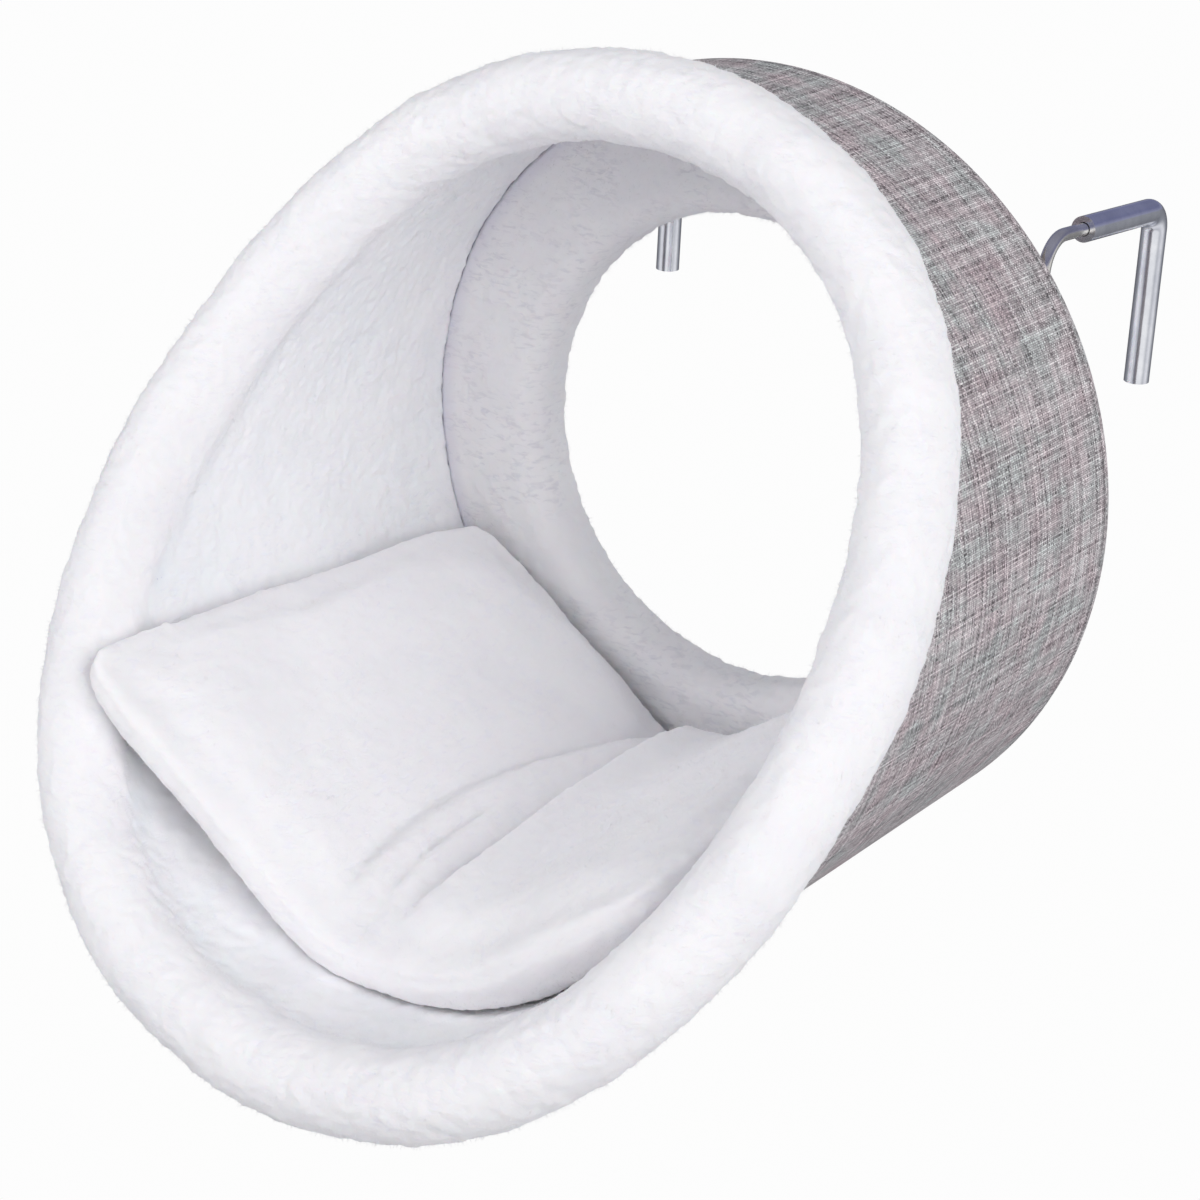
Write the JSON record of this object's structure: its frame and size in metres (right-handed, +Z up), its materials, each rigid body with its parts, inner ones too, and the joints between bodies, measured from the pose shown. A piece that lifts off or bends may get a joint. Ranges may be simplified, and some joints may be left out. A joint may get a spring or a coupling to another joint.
{
  "type": "cat radiator bed",
  "caption": "Padded tube bed with a slanted, rolled mouth, a round hole in its back, a loose cushion and sliding hooks that hang it on a panel radiator.",
  "frame": {"origin": "midway between the two hooks, level with the inside corners by which they hang on the radiator's back edge, in the plane where the bed's back bears on the radiator's front", "axes": "+X across the bed to the right seen from its mouth, +Y out of the bed's back into the radiator, +Z up"},
  "size_m": [0.4096, 0.4827, 0.4096],
  "materials": {
    "woven_cover": "heathered linen-look weave",
    "plush": "short white pile",
    "foam": "open foam",
    "fibre_filling": "loose polyester fibre",
    "fibreboard": "raw fibreboard",
    "rod_steel": "bright drawn steel",
    "screw_steel": "zinc plated",
    "hook_plating": "bright blue zinc plating"
  },
  "bodies": {
    "bed": {"tube_board": "fibreboard", "outer_cover": "woven_cover", "wall_foam": "foam", "wall_lining": "plush", "rim_core": "foam", "rim_plush": "plush", "back_board": "fibreboard", "edge_screws": "screw_steel", "ring_foam": "foam", "hole_roll_core": "foam", "ring_lining": "plush", "back_cover": "woven_cover", "hanger_rod": "rod_steel", "rod_straps": "screw_steel", "strap_screws": "screw_steel"},
    "left_hook": {"left_hook_tube": "hook_plating"},
    "right_hook": {"right_hook_tube": "hook_plating"},
    "cushion": {"cushion_cover": "plush", "cushion_filling": "fibre_filling"}
  },
  "joints": [
    {"name": "left_hook_slide", "type": "slide", "parent": "bed", "child": "left_hook", "axis": [0, 0.9974, -0.0715], "range_m": [-0.015, 0.03]},
    {"name": "right_hook_slide", "type": "slide", "parent": "bed", "child": "right_hook", "axis": [0, 0.9974, -0.0715], "range_m": [-0.015, 0.03]},
    {"name": "cushion_out", "type": "slide", "parent": "bed", "child": "cushion", "axis": [0, -0.8829, 0.4695], "range_m": [0, 0.2]}
  ]
}
